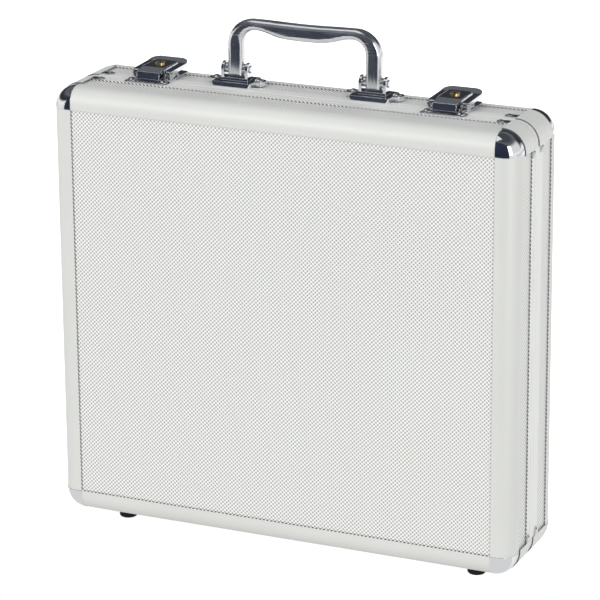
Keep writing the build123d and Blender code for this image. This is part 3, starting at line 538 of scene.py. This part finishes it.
# Object helpers
def link_object(name, data):
    thing = bpy.data.objects.new(name, data)
    bpy.context.scene.collection.objects.link(thing)
    return thing


def mesh_object(name, mesh, material):
    """Object made from a bmesh, which is freed"""
    data = bpy.data.meshes.new(name)
    mesh.to_mesh(data)
    mesh.free()
    data.materials.append(material)
    return link_object(name, data)


def aim(thing, location, target):
    """Places a light or a sheet so that its -Z looks at the target"""
    thing.location = location
    thing.rotation_mode = "QUATERNION"
    thing.rotation_quaternion = (Vector(target) - Vector(location)).to_track_quat("-Z", "Y")


# Foam, in place of the plain CAD solids
def new_piece(name, mesh, body, node):
    bmesh.ops.recalc_face_normals(mesh, faces=mesh.faces)
    piece = mesh_object(name, mesh, FOAM)
    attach(piece, body)
    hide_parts(node)
    return piece


def front_view(low, high):
    """Middle height, half width and half height of a box"""
    return (low[2] + high[2]) / 2, (high[0] - low[0]) / 2, (high[2] - low[2]) / 2


def bridge(mesh, first, second):
    count = len(first)
    for index in range(count):
        after = (index + 1) % count
        mesh.faces.new((first[index], first[after], second[after], second[index]))


def lid_foam():
    """Egg-crate foam, with its peaks towards the base"""
    low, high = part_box("lid_foam_pad")
    centre_z, half_x, half_z = front_view(low, high)
    step = EGG_PITCH / EGG_STEPS
    columns = int(2 * half_x / step)
    rows = int(2 * half_z / step)
    mesh = bmesh.new()
    grid = []
    for i in range(columns + 1):
        x = -half_x + 2 * half_x * i / columns
        over = max(abs(x) - (half_x - FOAM_CORNER), 0.0)
        reach = half_z - FOAM_CORNER + (FOAM_CORNER**2 - over**2) ** 0.5
        line = []
        for j in range(rows + 1):
            z = reach * (2 * j / rows - 1)
            wave = (1 + cos(2 * pi * x / EGG_PITCH) * cos(2 * pi * z / EGG_PITCH)) / 2
            edge = min(half_x - abs(x), reach - abs(z))
            edge_drop = EDGE_DROP * max(0.0, 1 - edge / EDGE_BAND) ** 2
            y = high[1] - EGG_DEPTH * (1 - wave) ** EGG_SHARPNESS - edge_drop
            line.append(mesh.verts.new((x, y, centre_z + z)))
        grid.append(line)
    for i in range(columns):
        for j in range(rows):
            mesh.faces.new((grid[i][j], grid[i + 1][j], grid[i + 1][j + 1], grid[i][j + 1]))
    rim = [grid[i][0] for i in range(columns)]
    rim += [grid[columns][j] for j in range(rows)]
    rim += [grid[i][rows] for i in range(columns, 0, -1)]
    rim += [grid[0][j] for j in range(rows, 0, -1)]
    back = [mesh.verts.new((v.co.x, low[1], v.co.z)) for v in rim]
    bridge(mesh, rim, back)
    mesh.faces.new(back)
    piece = new_piece("lid_foam_convoluted", mesh, "lid", "lid_foam_pad")
    piece.data.polygons.foreach_set("use_smooth", [True] * len(piece.data.polygons))


def rounded_loop(mesh, centre, half, radius, offset, y, steps=6):
    """Vertices of a rounded rectangle across Y that is grown by an offset, at depth y"""
    radius += offset
    verts = []
    corners = ((1, 1, 0.0), (-1, 1, 0.5 * pi), (-1, -1, pi), (1, -1, 1.5 * pi))
    for sign_x, sign_z, start in corners:
        for step in range(steps + 1):
            angle = start + 0.5 * pi * step / steps
            x = centre[0] + sign_x * (half[0] + offset - radius) + radius * cos(angle)
            z = centre[1] + sign_z * (half[1] + offset - radius) + radius * sin(angle)
            verts.append(mesh.verts.new((x, y, z)))
    return verts


def soft_edge(front, outward, steps=4):
    """Offset and depth of each loop over a soft edge that begins at the front"""
    loops = []
    for step in range(steps + 1):
        angle = 0.5 * pi * step / steps
        depth = front + FOAM_ROUND * (1 - cos(angle))
        loops.append((outward * (1 - sin(angle)) * FOAM_ROUND, depth))
    return loops


def add_shell(mesh, centre, half, radius, profile):
    """Walls along a profile with a face at its end; returns the edges where it begins"""
    loops = [rounded_loop(mesh, centre, half, radius, offset, y) for offset, y in profile]
    for first, second in zip(loops, loops[1:]):
        bridge(mesh, first, second)
    mesh.faces.new(loops[-1])
    start = loops[0]
    return [mesh.edges.get(pair) for pair in zip(start, start[1:] + start[:1])]


def base_foam():
    """Foam block with soft edges round its pockets"""
    low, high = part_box("base_foam_tray")
    centre_z, half_x, half_z = front_view(low, high)
    front, back = low[1], high[1]
    mesh = bmesh.new()
    outside = soft_edge(front, -1) + [(0.0, back)]
    top_edges = add_shell(mesh, (0, centre_z), (half_x, half_z), FOAM_CORNER, outside)
    pocket_floor = [
        (0.0, POCKET_FLOOR - FOAM_ROUND),
        (-FLOOR_BEND, POCKET_FLOOR - FLOOR_BEND),
        (-FOAM_ROUND, POCKET_FLOOR),
    ]
    inside = soft_edge(front, 1) + pocket_floor
    for x, z, width, height in POCKETS:
        centre = (x * MM, centre_z + z * MM)
        half = (width * MM / 2, height * MM / 2)
        top_edges += add_shell(mesh, centre, half, POCKET_ROUND, inside)
    bmesh.ops.triangle_fill(mesh, edges=top_edges, use_beauty=True)
    piece = new_piece("base_foam_insert", mesh, "base", "base_foam_tray")


lid_foam()
base_foam()


# Studio: camera, world, floor and lights
def studio_camera():
    """Camera of the photograph, without shift or depth of field"""
    azimuth = radians(CAMERA_AZIMUTH)
    elevation = radians(CAMERA_ELEVATION)
    roll = radians(CAMERA_ROLL)
    back = Vector((sin(azimuth) * cos(elevation), -cos(azimuth) * cos(elevation), sin(elevation)))
    level_right = Vector((cos(azimuth), sin(azimuth), 0))
    level_up = back.cross(level_right)
    right = level_right * cos(roll) + level_up * sin(roll)
    up = level_up * cos(roll) - level_right * sin(roll)
    data = bpy.data.cameras.new("photo_camera")
    data.sensor_width = SENSOR_WIDTH
    data.lens = FOCAL_PIXELS / PICTURE_PIXELS * SENSOR_WIDTH
    data.clip_end = CLIP_END
    camera = link_object("photo_camera", data)
    turn = Matrix((right, up, back)).transposed().to_4x4()
    camera.matrix_world = Matrix.Translation(CAMERA_TARGET + back * CAMERA_DISTANCE) @ turn
    bpy.context.scene.camera = camera


def studio_world():
    """White to the camera; for polished metal a white horizon, a dark ceiling and grey depths"""
    world = bpy.data.worlds.new("studio")
    bpy.context.scene.world = world
    world.use_nodes = True
    tree = world.node_tree
    background = tree.nodes["Background"]
    axes = split_axes(tree, coordinates(tree, "Generated"))
    ceiling = ramp(tree, axes["Z"], [(place, (level,) * 3) for place, level in CEILING_STOPS])
    side = math_node(tree, "MULTIPLY", step_at(tree, axes["X"], *SIDE_START), SIDE_LEVEL)
    side = math_node(tree, "MULTIPLY", side, step_at(tree, axes["Z"], *SIDE_TOP))
    depth = between(tree, step_at(tree, axes["Z"], *DEPTH_START), 1.0, DEPTH_LEVEL)
    room = math_node(tree, "MULTIPLY", math_node(tree, "MAXIMUM", ceiling, side), depth)
    rays = add_node(tree, "ShaderNodeLightPath", {}).outputs
    seen = math_node(tree, "MAXIMUM", rays["Is Camera Ray"], rays["Is Transmission Ray"])
    shiny = math_node(tree, "MULTIPLY", rays["Is Glossy Ray"], room)
    not_shiny = math_node(tree, "SUBTRACT", 1.0, rays["Is Glossy Ray"])
    ambient = math_node(tree, "MULTIPLY", not_shiny, AMBIENT_LEVEL)
    light = math_node(tree, "ADD", shiny, ambient)
    tint = tones(tree, room, (SHADE_TINT, WHITE), TINT_REACH)
    colour = mix_colours(tree, rays["Is Glossy Ray"], WHITE, tint)
    feed(tree, background.inputs["Strength"], math_node(tree, "MAXIMUM", seen, light))
    feed(tree, background.inputs["Color"], colour)


def stage_sheet(name, corners, colour, roughness):
    """Flat level sheet for the studio, with its shader tree and shader"""
    mesh = bmesh.new()
    mesh.faces.new([mesh.verts.new((x, y, 0)) for x, y in corners])
    material, tree, shader = make_material(name)
    set_surface(tree, shader, colour, roughness)
    return mesh_object(name, mesh, material), tree, shader


def studio_floor():
    """White table top that ends under the lid's feet, so that the lid can swing down before it"""
    corners = (
        (-FLOOR_REACH, FLOOR_FRONT),
        (FLOOR_REACH, FLOOR_FRONT),
        (FLOOR_REACH, FLOOR_REACH),
        (-FLOOR_REACH, FLOOR_REACH),
    )
    floor, tree, shader = stage_sheet("studio_floor", corners, FLOOR_COLOUR, FLOOR_ROUGHNESS)
    rays = add_node(tree, "ShaderNodeLightPath", {}).outputs
    seen = math_node(tree, "MULTIPLY", rays["Is Camera Ray"], FLOOR_GLOW)
    shine = math_node(tree, "MULTIPLY", rays["Is Glossy Ray"], FLOOR_SHINE)
    feed(tree, shader.inputs["Emission Color"], WHITE)
    feed(tree, shader.inputs["Emission Strength"], math_node(tree, "ADD", seen, shine))


def area_light(name, location, size, radiance, in_gloss):
    """Softbox of an even brightness, where 1 is white"""
    data = bpy.data.lights.new(name, "AREA")
    data.shape = "RECTANGLE"
    data.size, data.size_y = size
    data.energy = radiance * pi * size[0] * size[1]
    light = link_object(name, data)
    aim(light, location, LIGHT_TARGET)
    light.visible_camera = False
    light.visible_glossy = in_gloss


def dark_card():
    """Card that only polished metal shows"""
    corners = ((-0.5, -0.5), (0.5, -0.5), (0.5, 0.5), (-0.5, 0.5))
    card, _, _ = stage_sheet("dark_card", corners, CARD_COLOUR, 1.0)
    aim(card, CARD_LOCATION, CARD_TARGET)
    card.scale = (*CARD_SIZE, 1)
    card.visible_camera = False
    card.visible_diffuse = False
    card.visible_shadow = False


bpy.context.scene.view_settings.view_transform = "Standard"
studio_camera()
studio_world()
studio_floor()
for light_name, light_values in LIGHTS.items():
    area_light(light_name, *light_values)
dark_card()
